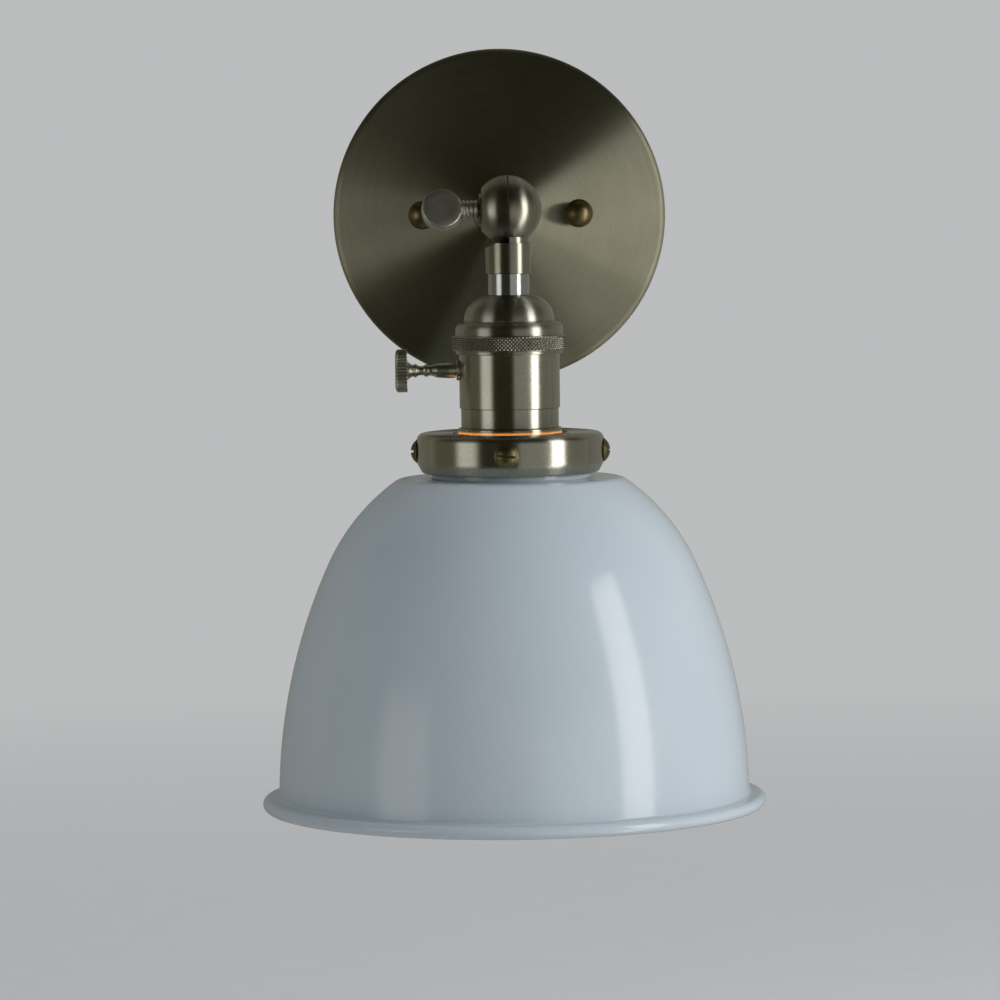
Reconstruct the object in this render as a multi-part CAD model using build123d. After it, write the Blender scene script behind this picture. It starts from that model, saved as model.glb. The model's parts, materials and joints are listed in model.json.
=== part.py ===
from build123d import *
import math
import os

# Wall reading lamp, in millimetres. The wall is the plane Y = 0 and the lamp stands out towards -Y.
# The origin is the centre of the canopy on the wall, with +X to the right and +Z up.
#
# Pieces on the wall are drawn with Z out of the wall. Pieces of the lamp head are drawn about Z, with the
# centre of the knuckle at the origin, so that a point at the drop d below the knuckle has Z = -d.

# Clearances
slip = 0.05            # radial, between pieces that screw or slide together
running = 0.06         # radial, for a shaft that turns
play = 0.3             # between faces that move past each other
washer_gap = 0.02      # on each side of the friction washer

# Canopy, the round plate on the wall
canopy_radius = 62.5
canopy_depth = 16.0
canopy_rim_height = 4.0
canopy_rim_round = 2.8
canopy_wall = 1.2
canopy_hub_radius = 10.5

# Crossbar behind the canopy, which is screwed to the wall
bar_length = 100.0
bar_width = 20.0
bar_thickness = 1.8
bar_corner = 4.0
bar_centre_bore = 7.0
wall_slot_spacing = 80.0
wall_slot_length = 12.0
wall_slot_width = 4.5
ground_screw_offset = 16.0
ground_screw_head_radius = 3.4
ground_screw_head_height = 2.2
ground_screw_radius = 1.75
ground_screw_slot_width = 1.0
ground_screw_slot_depth = 0.7

# Studs and cap nuts that hold the canopy on the crossbar
stud_spacing = 58.5
stud_radius = 2.0
stud_nut_flats = 7.0
stud_nut_height = 2.6
cap_nut_radius = 5.3
cap_nut_neck_radius = 3.6
cap_nut_neck_height = 1.0

# Arm from the canopy to the knuckle
reach = 98.0           # from the wall to the centre of the knuckle
tube_radius = 7.4
tube_wall = 1.0
nipple_radius = 5.0
nipple_bore = 3.9
nipple_nut_flats = 14.0
nipple_nut_height = 3.4
washer_radius = 8.6
washer_thickness = 1.0
nipple_tail = 2.4      # thread that shows behind its nut
nipple_end_gap = 1.0   # between a nipple and the relief in its collar

# Knuckle, a ball split in two halves, each with its own collar
ball_radius = 12.3
slit = 0.5
collar_radius = 8.2
collar_top = 11.9      # from the centre of the ball
collar_end = 22.7
neck_radius = 7.5
relief_radius = 13.7   # about the pivot, on the side of the other half
wireway_radius = 8.9
wireway_depth = 4.5
wireway_overlap = 1.0  # of a collar's bore into the wireway
pivot_boss_radius = 4.2
side_flat = 9.4        # from the centre of the ball to the flat under the thumb screw
side_boss_radius = 5.9
side_boss_height = 0.8
friction_washer_width = 2.7

# Thumb screw through the knuckle
screw_radius = 2.5
screw_reach = 8.4      # past the centre, into the front half
screw_beads = 4
screw_bead_radius = 3.5
screw_waist_radius = 3.0
screw_stem_length = 6.0
paddle_radius = 7.5
paddle_thickness = 5.75
paddle_turn = 18.0     # degrees that its face looks up

# Lamp head
lean = 2.0             # degrees that the shade leans to the wall at rest
stem_length = 7.9      # tube between the collar and the socket cap

# Socket, sized from its lamp thread outwards
screw_shell_radius = 14.1
screw_shell_wall = 0.5
screw_shell_top_gap = 0.4
core_neck_wall = 1.4
core_floor = 19.2      # thickness over the lamp cavity
liner_wall = 0.7
sleeve_wall = 1.0      # of the thread that carries the shade holder
sleeve_length = 9.0
skirt_step = 0.9       # that the lower shell stands proud of the sleeve
skirt_length = 7.0
skirt_overlap = 4.5    # of the lower shell inside the upper one
shell_step = 0.5       # that the upper shell stands proud of the lower one
shell_wall = 0.8
shell_length = 19.5    # that shows below the cap
shell_overlap = 6.0    # inside the cap

# Socket cap, proud of the shell or drawn in from it
cap_dome_inset = 1.6
cap_dome_round = 9.5
cap_dome_inner_round = 7.6
cap_shoulder_proud = 1.4
cap_shoulder_drop = 9.9
cap_shoulder_height = 5.0
cap_shoulder_round = 2.6
cap_band_proud = 2.5
cap_band_height = 4.6
cap_lip_proud = 1.2
cap_lip_height = 1.3
cap_wall = 1.1
cap_hub_wall = 2.15
cap_hub_height = 5.8

# Contact and wiring screws
contact_radius = 3.6
contact_thickness = 0.7
terminal_radius = 2.4
terminal_height = 1.0
terminal_offset = 10.0
terminal_slot = 0.8

# Rotary switch in the side of the shell
switch_drop = 5.8          # of the switch below the cap
switch_block_width = 12.0
switch_block_height = 10.0
switch_block_depth = 9.0
spindle_radius = 2.0
spindle_end = 2.0      # from the head's axis
bushing_radius = 3.2
bushing_tail = 2.0     # inside the core
bushing_flange_radius = 4.3
bushing_flange = 1.0
key_length = 17.3      # of the turned stem, outside the bushing
key_swell_end = 6.2    # along that stem
key_waist_start = 10.0
key_waist_end = 14.8
key_root_length = 1.0
key_disc_radius = 7.7
key_disc_bevel = 1.6
key_knurl_width = 2.7
key_teeth = 28
key_tooth_depth = 0.55
key_root_radius = 3.8
key_neck_radius = 3.0
key_waist_radius = 2.25
key_bead_radius = 2.45
key_swell_radius = 3.47
key_swell_taper = 0.2

# Shade holder: a cup with three spokes, clamped on the skirt
holder_gap = 1.8       # from the skirt down to the top of the cup
holder_lip = 3.8       # from the mouth out to the side of the cup
holder_height = 14.3
holder_wall = 1.3
holder_top_round = 2.0
holder_bottom_round = 2.6
holder_hub_wall = 1.85
holder_slot_width = 2.1
holder_spokes = 3
holder_spoke_bite = 0.6     # of a spoke in the cup and in the hub
holder_spoke_width = 5.0
holder_turn = -4.2     # degrees about the head's axis
lock_ring_height = 4.0
lock_ring_notches = 6
lock_ring_notch_width = 3.0
lock_ring_notch_depth = 0.8
screw_count = 4
holder_screw_radius = 1.9
holder_screw_drop = 6.6     # below the top of the cup
holder_screw_head_radius = 4.3
holder_screw_head_height = 2.3
holder_screw_slot = 0.9

# Shade: a neck, a flat top and a bell of two arcs, with a rolled rim
shade_wall = 0.8
shade_neck_radius = 28.2
shade_neck_lip = 1.2
shade_neck_height = 12.6
shade_top_drop = 16.2       # below the top of the holder
shade_top_radius = 38.2     # where the flat top ends
shade_shoulder_round = 6.0
shade_shoulder_angle = 35.7
shade_crown_round = 74.7
shade_crown_angle = 29.8
shade_skirt_round = 206.2
shade_skirt_angle = 23.9
shade_flange = 2.4
shade_bead_radius = 2.3

# Bulb
bulb_tip_gap = 0.5          # under the centre contact
bulb_base_radius = 13.1
bulb_base_height = 23.5
bulb_tip_radius = 4.6
bulb_tip_height = 0.9
bulb_taper_radius = 8.0
bulb_taper_height = 3.2
bulb_neck_radius = 14.4
bulb_globe_radius = 30.0
bulb_globe_drop = 74.5      # from the tip to the centre of the globe
bulb_blend_angle = 35.0     # above the middle of the globe, where the neck's curve meets it
bulb_wall = 0.8
bulb_stem_flare_radius = 9.0
bulb_stem_flare_height = 8.7
bulb_stem_radius = 4.5
bulb_stem_tip_radius = 1.5
bulb_stem_height = 26.0
filament_radius = 9.0
filament_wire = 0.3
filament_angle = 340.0

# Radii of the socket and the holder that follow
core_neck_radius = screw_shell_radius + slip + core_neck_wall
sleeve_radius = core_neck_radius + slip + sleeve_wall
skirt_radius = sleeve_radius + skirt_step
shell_radius = skirt_radius + shell_step
liner_radius = shell_radius - shell_wall - slip
core_radius = liner_radius - liner_wall - slip
cap_dome_radius = shell_radius - cap_dome_inset
cap_shoulder_radius = shell_radius + cap_shoulder_proud
cap_band_radius = shell_radius + cap_band_proud
cap_lip_radius = shell_radius + cap_lip_proud
holder_hub_radius = sleeve_radius + slip + holder_hub_wall
holder_slot_radius = holder_hub_radius + holder_slot_width
holder_mouth_radius = shade_neck_radius + shade_neck_lip + play
holder_radius = holder_mouth_radius + holder_lip

# Levels along the head's axis, as drops below the centre of the knuckle
cap_top = collar_end + stem_length
cap_shoulder = cap_top + cap_shoulder_drop
cap_band = cap_shoulder + cap_shoulder_height
cap_lip = cap_band + cap_band_height
cap_end = cap_lip + cap_lip_height
switch_level = cap_end + switch_drop
shell_top = cap_end - shell_overlap
shell_end = cap_end + shell_length
skirt_end = shell_end + skirt_length
sleeve_end = skirt_end + sleeve_length
core_step = shell_end - skirt_overlap
cavity_top = shell_top + core_floor
holder_top = skirt_end + holder_gap
holder_end = holder_top + holder_height
shade_top = holder_top + shade_top_drop
tip_drop = cavity_top + contact_thickness + bulb_tip_gap
base_end = tip_drop + bulb_base_height
globe_drop = tip_drop + bulb_globe_drop

cap_nut_seat = canopy_depth - (stud_spacing / 2 - cap_nut_neck_radius - canopy_hub_radius) * (
    canopy_depth - canopy_rim_height
) / (canopy_radius - canopy_hub_radius)
cap_nut_centre = cap_nut_seat + cap_nut_neck_height + math.sqrt(cap_nut_radius**2 - cap_nut_neck_radius**2)


def turned(*corners):
    """Solid turned about Z from the corners of its half section, as (radius, height)."""
    return revolve(Plane.XZ * make_face(Polyline(*corners, close=True)), Axis.Z)


def turned_curve(*edges):
    """Solid turned about Z from the edges of its half section."""
    return revolve(Plane.XZ * make_face(Curve() + list(edges)), Axis.Z)


def ring(outer, inner, low, high):
    """Plain tube about Z."""
    return turned((inner, low), (outer, low), (outer, high), (inner, high))


def rod(radius, low, high):
    """Plain rod about Z."""
    return Pos(0, 0, low) * Cylinder(radius, high - low, align=(Align.CENTER, Align.CENTER, Align.MIN))


def rounded_section(section, corner, radius):
    """Section with the corner nearest to the given point rounded."""
    return fillet(section.vertices().sort_by_distance(corner)[0], radius)


def hex_nut(flats, height, bore):
    """Hexagon nut standing on Z = 0."""
    return extrude(RegularPolygon(flats / 2, 6, major_radius=False), height) - rod(bore, 0, height)


def at_studs(piece):
    """The piece at both canopy studs."""
    return [Pos(side * stud_spacing / 2, 0, 0) * piece for side in (-1, 1)]


# Pieces on the wall, drawn with Z out of the wall


def canopy():
    """Spun dish: a short rim, a shallow cone and a flat hub, all of one wall."""
    inner_radius = canopy_radius - canopy_wall
    section = make_face(
        Polyline(
            (canopy_radius, 0),
            (canopy_radius, canopy_rim_height),
            (canopy_hub_radius, canopy_depth),
            (nipple_radius + slip, canopy_depth),
            (nipple_radius + slip, canopy_depth - canopy_wall),
            (canopy_hub_radius, canopy_depth - canopy_wall),
            (inner_radius, canopy_rim_height - canopy_wall),
            (inner_radius, 0),
            close=True,
        )
    )
    section = rounded_section(section, (canopy_radius, canopy_rim_height), canopy_rim_round)
    inner_corner = (inner_radius, canopy_rim_height - canopy_wall)
    section = rounded_section(section, inner_corner, canopy_rim_round - canopy_wall)
    dish = revolve(Plane.XZ * section, Axis.Z)
    for hole in at_studs(rod(stud_radius + play, 0, canopy_depth)):
        dish -= hole
    return dish


def crossbar():
    """Flat strip with two wall slots, a centre bore and three tapped holes."""
    outline = fillet(Rectangle(bar_length, bar_width).vertices(), bar_corner)
    outline -= Circle(bar_centre_bore)
    slot = SlotOverall(wall_slot_length, wall_slot_width)
    for side in (-1, 1):
        outline -= Pos(side * wall_slot_spacing / 2, 0) * slot
        outline -= Pos(side * stud_spacing / 2, 0) * Circle(stud_radius + slip)
    outline -= Pos(ground_screw_offset, 0) * Circle(ground_screw_radius + slip)
    return extrude(outline, bar_thickness)


def crossbar_studs():
    return at_studs(rod(stud_radius, 0, cap_nut_centre))


def stud_locknuts():
    nut = hex_nut(stud_nut_flats, stud_nut_height, stud_radius + slip)
    return at_studs(Pos(0, 0, bar_thickness) * nut)


def cap_nuts():
    """Ball nuts on a short neck, drilled from behind."""
    ball = Pos(0, 0, cap_nut_centre) * Sphere(cap_nut_radius)
    ball &= Pos(0, 0, cap_nut_seat + cap_nut_neck_height) * Cylinder(
        cap_nut_radius * 2, cap_nut_radius * 4, align=(Align.CENTER, Align.CENTER, Align.MIN)
    )
    nut = ball + rod(cap_nut_neck_radius, cap_nut_seat, cap_nut_seat + cap_nut_neck_height)
    nut -= rod(stud_radius + slip, cap_nut_seat, cap_nut_centre + slip)
    return at_studs(nut)


def ground_screw():
    """Earthing screw with a slotted pan head, in the crossbar."""
    head = rod(ground_screw_head_radius, bar_thickness, bar_thickness + ground_screw_head_height)
    slot = Pos(0, 0, bar_thickness + ground_screw_head_height) * Box(
        ground_screw_head_radius * 2, ground_screw_slot_width, ground_screw_slot_depth * 2
    )
    return Pos(ground_screw_offset, 0, 0) * (head - slot + rod(ground_screw_radius, 0, bar_thickness))


def arm_lock_washer():
    seat = canopy_depth - canopy_wall
    return ring(washer_radius, nipple_radius + slip, seat - washer_thickness, seat)


def arm_locknut():
    seat = canopy_depth - canopy_wall - washer_thickness - nipple_nut_height
    return Pos(0, 0, seat) * hex_nut(nipple_nut_flats, nipple_nut_height, nipple_radius + slip)


def arm_nipple():
    """Threaded tube from behind the canopy into the rear collar."""
    low = canopy_depth - canopy_wall - washer_thickness - nipple_nut_height - nipple_tail
    return ring(nipple_radius, nipple_bore, low, reach - relief_radius - nipple_end_gap)


def arm_tube():
    return ring(tube_radius, tube_radius - tube_wall, canopy_depth, reach - collar_end)


# Knuckle


def ball_section(width, screw_way):
    """Half section of a half ball about the pivot, from the slit out to the width, with its wireway.

    The screw way holds the corners of the screw's hole at its outer end.
    """
    face = slit / 2
    outer = math.sqrt(ball_radius**2 - face**2)
    end = math.sqrt(ball_radius**2 - width**2)
    bore = screw_radius + running
    halfway = (math.asin(face / ball_radius) + math.asin(width / ball_radius)) / 2
    skin_middle = (ball_radius * math.cos(halfway), ball_radius * math.sin(halfway))
    skin = ThreePointArc((outer, face), skin_middle, (end, width))
    inside = Polyline(
        (end, width),
        *screw_way,
        (bore, face),
        (pivot_boss_radius, face),
        (pivot_boss_radius, wireway_depth),
        (wireway_radius, wireway_depth),
        (wireway_radius, face),
        (outer, face),
    )
    return make_face(Curve() + [skin, inside])


def knuckle_half(section):
    """Half ball left of the slit, with a whole collar below it that is relieved round the other half."""
    ball = Rot(0, -90, 0) * revolve(Plane.XZ * section, Axis.Z)
    own_side = Pos(-slit / 2 - ball_radius, 0, 0) * Box(ball_radius * 2, ball_radius * 8, ball_radius * 8)
    neck = rod(neck_radius, -collar_top, -wireway_radius) & own_side
    relief = Rot(0, 90, 0) * rod(relief_radius, -ball_radius, ball_radius)
    collar = rod(collar_radius, -collar_end, -collar_top) - (relief - own_side)
    half = ball + (neck + collar)
    half -= rod(nipple_bore, -collar_end, -wireway_radius + wireway_overlap)
    half -= rod(nipple_radius + slip, -collar_end, -relief_radius)
    return half


def knuckle_rear_half():
    """Left half, with the flat and boss that the thumb screw bears on."""
    bore = screw_radius + running
    boss = ring(side_boss_radius, bore, side_flat, side_flat + side_boss_height)
    half = knuckle_half(ball_section(side_flat, [(bore, side_flat)]))
    return half + Rot(0, -90, 0) * boss


def knuckle_front_half():
    """Right half, tapped from the slit for the thumb screw."""
    end = screw_reach + play
    half = knuckle_half(ball_section(ball_radius, [(0, end), (screw_radius + running, end)]))
    return mirror(half, about=Plane.YZ)


def friction_washer():
    """Fibre ring in the slit."""
    outer = ball_radius - play
    half_thickness = slit / 2 - washer_gap
    return Rot(0, 90, 0) * ring(outer, outer - friction_washer_width, -half_thickness, half_thickness)


def thumb_screw():
    """Screw with a beaded stem and a flattened ball as its paddle, along -X."""
    seat = side_flat + side_boss_height + play
    paddle_middle = seat + screw_stem_length + math.sqrt(paddle_radius**2 - screw_waist_radius**2)
    screw = rod(screw_radius, -screw_reach, seat)
    screw += rod(screw_waist_radius, seat, paddle_middle)
    pitch = screw_stem_length / screw_beads
    bead = turned(
        (0, -pitch / 2),
        (screw_waist_radius, -pitch / 2),
        (screw_bead_radius, -pitch / 4),
        (screw_bead_radius, pitch / 4),
        (screw_waist_radius, pitch / 2),
        (0, pitch / 2),
    )
    for number in range(screw_beads):
        screw += Pos(0, 0, seat + pitch * (number + 0.5)) * bead
    slab = Box(paddle_radius * 4, paddle_thickness, paddle_radius * 4)
    screw += Pos(0, 0, paddle_middle) * (Sphere(paddle_radius) & slab)
    return Rot(-paddle_turn, 0, 0) * Rot(0, -90, 0) * screw


# Pieces of the lamp head, drawn about Z below the knuckle


def stem_tube():
    return ring(tube_radius, tube_radius - tube_wall, -cap_top, -collar_end)


def head_nipple():
    """Threaded tube that joins the collar, the stem tube and the socket cap."""
    return ring(nipple_radius, nipple_bore, -cap_top - cap_hub_height, -relief_radius - nipple_end_gap)


def socket_cap():
    """Domed brass cap with a shoulder, a knurled band and a lip, open below."""
    nipple_bore_radius = nipple_radius + slip
    dome_inner = cap_dome_radius - cap_wall
    band_bore = shell_radius + slip
    section = make_face(
        Polyline(
            (nipple_bore_radius, -cap_top),
            (cap_dome_radius, -cap_top),
            (cap_dome_radius, -cap_shoulder),
            (cap_shoulder_radius, -cap_shoulder),
            (cap_shoulder_radius, -cap_band),
            (cap_band_radius, -cap_band),
            (cap_band_radius, -cap_lip),
            (cap_lip_radius, -cap_lip),
            (cap_lip_radius, -cap_end),
            (band_bore, -cap_end),
            (band_bore, -cap_shoulder - cap_wall),
            (dome_inner, -cap_shoulder - cap_wall),
            (dome_inner, -cap_top - cap_wall),
            (nipple_bore_radius + cap_hub_wall, -cap_top - cap_wall),
            (nipple_bore_radius + cap_hub_wall, -cap_top - cap_hub_height),
            (nipple_bore_radius, -cap_top - cap_hub_height),
            close=True,
        )
    )
    section = rounded_section(section, (cap_dome_radius, -cap_top), cap_dome_round)
    section = rounded_section(section, (dome_inner, -cap_top - cap_wall), cap_dome_inner_round)
    section = rounded_section(section, (cap_shoulder_radius, -cap_shoulder), cap_shoulder_round)
    return revolve(Plane.XZ * section, Axis.Z)


def switch_way(radius, depth):
    """Round way for the switch, from outside the shell inwards along -X."""
    return Pos(0, 0, -switch_level) * Rot(0, -90, 0) * rod(radius, depth, shell_radius * 2)


def socket_shell():
    shell = ring(shell_radius, shell_radius - shell_wall, -shell_end, -shell_top)
    return shell - switch_way(bushing_radius + slip, 0)


def socket_skirt():
    """Lower shell, stepped inside the upper one, with the threaded sleeve for the shade holder."""
    bore = sleeve_radius - sleeve_wall
    return turned(
        (bore, -sleeve_end),
        (sleeve_radius, -sleeve_end),
        (sleeve_radius, -skirt_end),
        (skirt_radius, -skirt_end),
        (skirt_radius, -shell_end),
        (liner_radius, -shell_end),
        (liner_radius, -core_step),
        (bore, -core_step),
    )


def insulating_liner():
    """Fibre tube between the shell and the core."""
    liner = ring(liner_radius, liner_radius - liner_wall, -core_step, -shell_top)
    return liner - switch_way(bushing_radius + slip, 0)


def socket_core():
    """Moulded insulator, stepped on the skirt: a lamp cavity below and a pocket for the switch above."""
    core = rod(core_radius, -core_step, -shell_top) + rod(core_neck_radius, -sleeve_end, -core_step)
    core -= rod(screw_shell_radius + slip, -sleeve_end, -cavity_top)
    core -= Pos(0, 0, -switch_level) * Box(
        switch_block_depth + slip * 2, switch_block_width + slip * 2, switch_block_height + slip * 2
    )
    return core - switch_way(bushing_radius + slip, 0)


def switch_block():
    """Rotary switch in the core, bored for the key's spindle."""
    block = Pos(0, 0, -switch_level) * Box(switch_block_depth, switch_block_width, switch_block_height)
    return block - switch_way(spindle_radius + running, 0)


def switch_bushing():
    """Flanged bush of the key in the shell."""
    bush = ring(bushing_radius, spindle_radius + running, core_radius - bushing_tail, shell_radius)
    bush += ring(
        bushing_flange_radius, spindle_radius + running, shell_radius, shell_radius + bushing_flange
    )
    return Pos(0, 0, -switch_level) * Rot(0, -90, 0) * bush


def switch_key():
    """Turned stem with a knurled disc, and the spindle that goes into the switch."""
    start = shell_radius + bushing_flange + play
    disc_back = start + key_length
    stem = turned(
        (0, start),
        (key_swell_radius, start),
        (key_swell_radius - key_swell_taper, start + key_swell_end),
        (key_bead_radius, start + key_waist_start),
        (key_waist_radius, start + (key_waist_start + key_waist_end) / 2),
        (key_waist_radius, start + key_waist_end),
        (key_neck_radius, disc_back - key_root_length),
        (key_root_radius, disc_back),
        (0, disc_back),
    )
    tips = []
    for number in range(key_teeth * 2):
        angle = math.pi * number / key_teeth
        radius = key_disc_radius - key_tooth_depth * (number % 2)
        tips.append((radius * math.cos(angle), radius * math.sin(angle)))
    knurl = Pos(0, 0, disc_back) * extrude(make_face(Polyline(*tips, close=True)), key_knurl_width)
    bevel = Pos(0, 0, disc_back + key_knurl_width) * Cone(
        key_disc_radius - key_tooth_depth,
        key_disc_radius - key_tooth_depth - key_disc_bevel,
        key_disc_bevel,
        align=(Align.CENTER, Align.CENTER, Align.MIN),
    )
    key = stem + knurl + bevel + rod(spindle_radius, spindle_end, start)
    return Pos(0, 0, -switch_level) * Rot(0, -90, 0) * key


def screw_shell():
    """Brass thread shell that takes the lamp base."""
    inner = screw_shell_radius - screw_shell_wall
    return ring(screw_shell_radius, inner, -sleeve_end, -cavity_top - screw_shell_top_gap)


def centre_contact():
    return rod(contact_radius, -cavity_top - contact_thickness, -cavity_top)


def terminal_screws():
    """Two slotted wiring screws on top of the core."""
    head = rod(terminal_radius, -shell_top, -shell_top + terminal_height)
    head -= Pos(0, 0, -shell_top + terminal_height) * Box(
        terminal_radius * 2, terminal_slot, terminal_slot
    )
    return [Pos(side * terminal_offset, 0, 0) * head for side in (-1, 1)]


def shade_holder():
    """Turned cup with an inward lip below, and a hub on three spokes that lets warm air out round it."""
    inner = holder_radius - holder_wall
    floor = holder_top + holder_wall
    section = make_face(
        Polyline(
            (holder_slot_radius, -holder_top),
            (holder_radius, -holder_top),
            (holder_radius, -holder_end),
            (holder_mouth_radius, -holder_end),
            (holder_mouth_radius, -holder_end + holder_wall),
            (inner, -holder_end + holder_wall),
            (inner, -floor),
            (holder_slot_radius, -floor),
            close=True,
        )
    )
    section = rounded_section(section, (holder_radius, -holder_top), holder_top_round)
    section = rounded_section(section, (holder_radius, -holder_end), holder_bottom_round)
    cup = revolve(Plane.XZ * section, Axis.Z)
    hub_bore = sleeve_radius + slip
    cup += ring(holder_hub_radius, hub_bore, -floor, -skirt_end)
    spoke_middle = (holder_hub_radius + holder_slot_radius) / 2
    spoke_length = holder_slot_width + holder_spoke_bite * 2
    spoke = Pos(spoke_middle, 0, -floor + holder_wall / 2) * Box(spoke_length, holder_spoke_width, holder_wall)
    for number in range(holder_spokes):
        cup += Rot(0, 0, 90 + number * 360 / holder_spokes) * spoke
    hole = Pos(0, 0, -holder_top - holder_screw_drop) * Rot(0, 90, 0) * rod(
        holder_screw_radius + slip, holder_mouth_radius, holder_radius + holder_wall
    )
    for number in range(screw_count):
        cup -= Rot(0, 0, holder_turn + number * 360 / screw_count) * hole
    return cup


def holder_lock_ring():
    """Notched nut on the sleeve, under the holder's hub."""
    top = holder_top + holder_wall
    nut = ring(holder_hub_radius, sleeve_radius + slip, -top - lock_ring_height, -top)
    notch = Pos(holder_hub_radius, 0, -top - lock_ring_height) * Box(
        lock_ring_notch_depth * 2, lock_ring_notch_width, lock_ring_height
    )
    for number in range(lock_ring_notches):
        nut -= Rot(0, 0, number * 360 / lock_ring_notches) * notch
    return nut


def holder_screws():
    """Four slotted round-head screws that grip the shade's neck."""
    dome_radius = (holder_screw_head_radius**2 + holder_screw_head_height**2) / (2 * holder_screw_head_height)
    head = Pos(0, 0, holder_radius + holder_screw_head_height - dome_radius) * Sphere(dome_radius)
    head &= rod(dome_radius * 2, holder_radius, holder_radius + dome_radius)
    head -= Pos(0, 0, holder_radius + holder_screw_head_height) * Box(
        holder_screw_slot, holder_screw_head_radius * 2, holder_screw_slot * 2
    )
    screw = head + rod(holder_screw_radius, shade_neck_radius + slip, holder_radius)
    screw = Pos(0, 0, -holder_top - holder_screw_drop) * Rot(0, 90, 0) * screw
    return [Rot(0, 0, holder_turn + number * 360 / screw_count) * screw for number in range(screw_count)]


def shade_outline(inset):
    """Neck, flat top and bell, moved inwards by the inset, from the top of the neck to the rim."""
    neck = shade_neck_radius - inset
    top = -shade_top - inset
    foot = Line((neck, -shade_top + shade_neck_height), (neck, top))
    flat = Line(foot @ 1, (shade_top_radius, top))
    shoulder = JernArc(flat @ 1, (1, 0), shade_shoulder_round - inset, -shade_shoulder_angle)
    crown = JernArc(shoulder @ 1, shoulder % 1, shade_crown_round - inset, -shade_crown_angle)
    bell = JernArc(crown @ 1, crown % 1, shade_skirt_round - inset, -shade_skirt_angle)
    return [foot, flat, shoulder, crown, bell]


def shade():
    """Spun metal bell of one wall, with a lip on its neck, a flange and a rolled rim."""
    outside = shade_outline(0)
    inside = shade_outline(shade_wall)
    neck_start = Line(inside[0] @ 0, outside[0] @ 0)
    mouth = Line(outside[-1] @ 1, inside[-1] @ 1)
    bell = turned_curve(neck_start, mouth, *outside, *inside)
    neck_top = -shade_top + shade_neck_height
    lip_radius = shade_neck_radius + shade_neck_lip
    bell += ring(lip_radius, shade_neck_radius - shade_wall / 2, neck_top - shade_wall, neck_top)
    rim_radius = (outside[-1] @ 1).X
    rim = (outside[-1] @ 1).Y
    flange_end = rim_radius + shade_flange
    bell += ring(flange_end, rim_radius - shade_wall, rim - shade_wall, rim)
    bead = Pos(flange_end + shade_bead_radius / 2, rim - shade_bead_radius) * Circle(shade_bead_radius)
    return bell + revolve(Plane.XZ * bead, Axis.Z)


# Bulb


def bulb_outline(inset):
    """Neck, blend and globe, moved inwards by the inset."""
    angle = math.radians(bulb_blend_angle)
    neck = bulb_neck_radius - inset
    globe = bulb_globe_radius - inset
    blend_radius = (globe * math.cos(angle) - neck) / (1 - math.cos(angle))
    meeting = (globe * math.cos(angle), -globe_drop + globe * math.sin(angle))
    neck_end = (neck, meeting[1] + blend_radius * math.sin(angle))
    neck_line = Line((neck, -base_end), neck_end)
    blend = JernArc(neck_end, (0, -1), blend_radius, bulb_blend_angle)
    bowl = JernArc(blend @ 1, blend % 1, globe, -90 - bulb_blend_angle)
    return [neck_line, blend, bowl]


def bulb_glass():
    outside = bulb_outline(0)
    inside = bulb_outline(bulb_wall)
    neck_top = Line(outside[0] @ 0, inside[0] @ 0)
    bottom = Line(outside[-1] @ 1, inside[-1] @ 1)
    return turned_curve(neck_top, bottom, *outside, *inside)


def bulb_base():
    """Screw base with its insulating taper and tip."""
    tip_end = tip_drop + bulb_tip_height
    taper_end = tip_end + bulb_taper_height
    return turned(
        (0, -tip_drop),
        (bulb_tip_radius, -tip_drop),
        (bulb_tip_radius, -tip_end),
        (bulb_taper_radius, -tip_end),
        (bulb_base_radius, -taper_end),
        (bulb_base_radius, -base_end),
        (0, -base_end),
    )


def bulb_stem():
    """Glass mount inside the bulb."""
    end = base_end + bulb_stem_height
    return turned(
        (0, -base_end),
        (bulb_stem_flare_radius, -base_end),
        (bulb_stem_radius, -base_end - bulb_stem_flare_height),
        (bulb_stem_tip_radius, -end),
        (0, -end),
    )


def filament():
    """Open wire hoop whose two ends meet the tip of the mount."""
    middle = base_end + bulb_stem_height + filament_radius + filament_wire
    hoop = Torus(filament_radius, filament_wire, major_angle=filament_angle)
    return Pos(0, 0, -middle) * Rot(90, 0, 0) * Rot(0, 0, 270 - filament_angle / 2) * hoop


def wall_pieces():
    half = Pos(0, 0, reach)
    return {
        "canopy": canopy(),
        "crossbar": crossbar(),
        "crossbar_studs": crossbar_studs(),
        "stud_locknuts": stud_locknuts(),
        "cap_nuts": cap_nuts(),
        "ground_screw": ground_screw(),
        "arm_nipple": arm_nipple(),
        "arm_locknut": arm_locknut(),
        "arm_lock_washer": arm_lock_washer(),
        "arm_tube": arm_tube(),
        "knuckle_rear_half": half * knuckle_rear_half(),
        "friction_washer": half * friction_washer(),
    }


def head_pieces():
    return {
        "knuckle_front_half": knuckle_front_half(),
        "thumb_screw": thumb_screw(),
        "head_nipple": head_nipple(),
        "stem_tube": stem_tube(),
        "socket_cap": socket_cap(),
        "socket_shell": socket_shell(),
        "socket_skirt": socket_skirt(),
        "insulating_liner": insulating_liner(),
        "socket_core": socket_core(),
        "switch_block": switch_block(),
        "switch_bushing": switch_bushing(),
        "switch_key": switch_key(),
        "screw_shell": screw_shell(),
        "centre_contact": centre_contact(),
        "terminal_screws": terminal_screws(),
        "shade_holder": shade_holder(),
        "holder_lock_ring": holder_lock_ring(),
        "holder_screws": holder_screws(),
        "shade": shade(),
        "bulb_base": bulb_base(),
        "bulb_glass": bulb_glass(),
        "bulb_stem": bulb_stem(),
        "filament": filament(),
    }


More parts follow.
